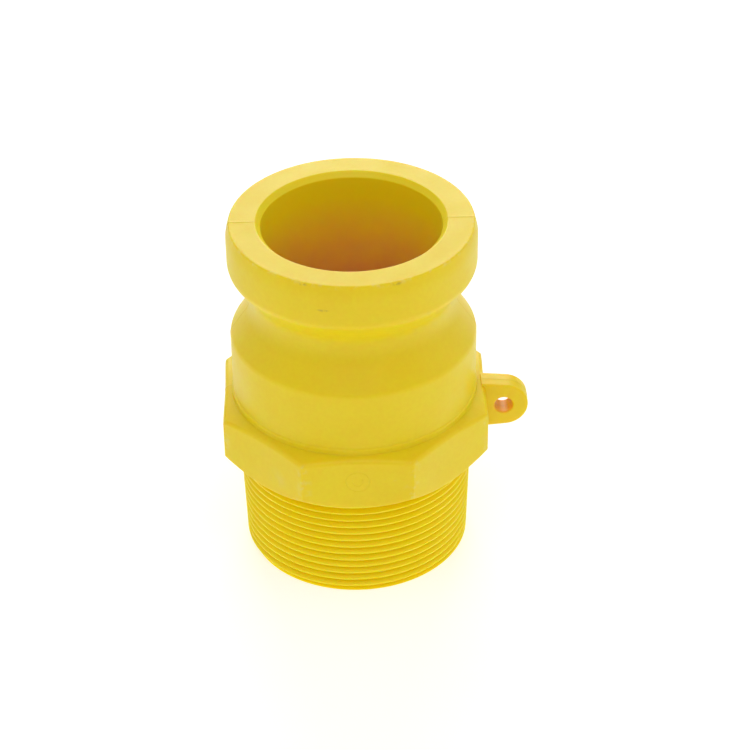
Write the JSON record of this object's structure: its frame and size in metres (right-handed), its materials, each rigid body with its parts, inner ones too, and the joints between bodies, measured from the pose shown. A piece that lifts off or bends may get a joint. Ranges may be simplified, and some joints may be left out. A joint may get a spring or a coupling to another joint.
{
  "type": "camlock coupling adapter",
  "caption": "One-piece plastic camlock adapter: grooved male tip with a flat sealing face, octagonal wrench collar, tether lug and tapered male pipe thread round a straight through bore.",
  "frame": {"origin": "on the bore axis at the height of the centre of mass, 47.6 mm above the threaded end face", "axes": "+Z along the bore axis, out of the sealing face; +X towards the tether lug; +Y square to both"},
  "size_m": [0.0792, 0.068, 0.0957],
  "materials": {
    "yellow_polypropylene": "satin moulded"
  },
  "bodies": {
    "root": {"adapter_body": "yellow_polypropylene"}
  },
  "joints": []
}
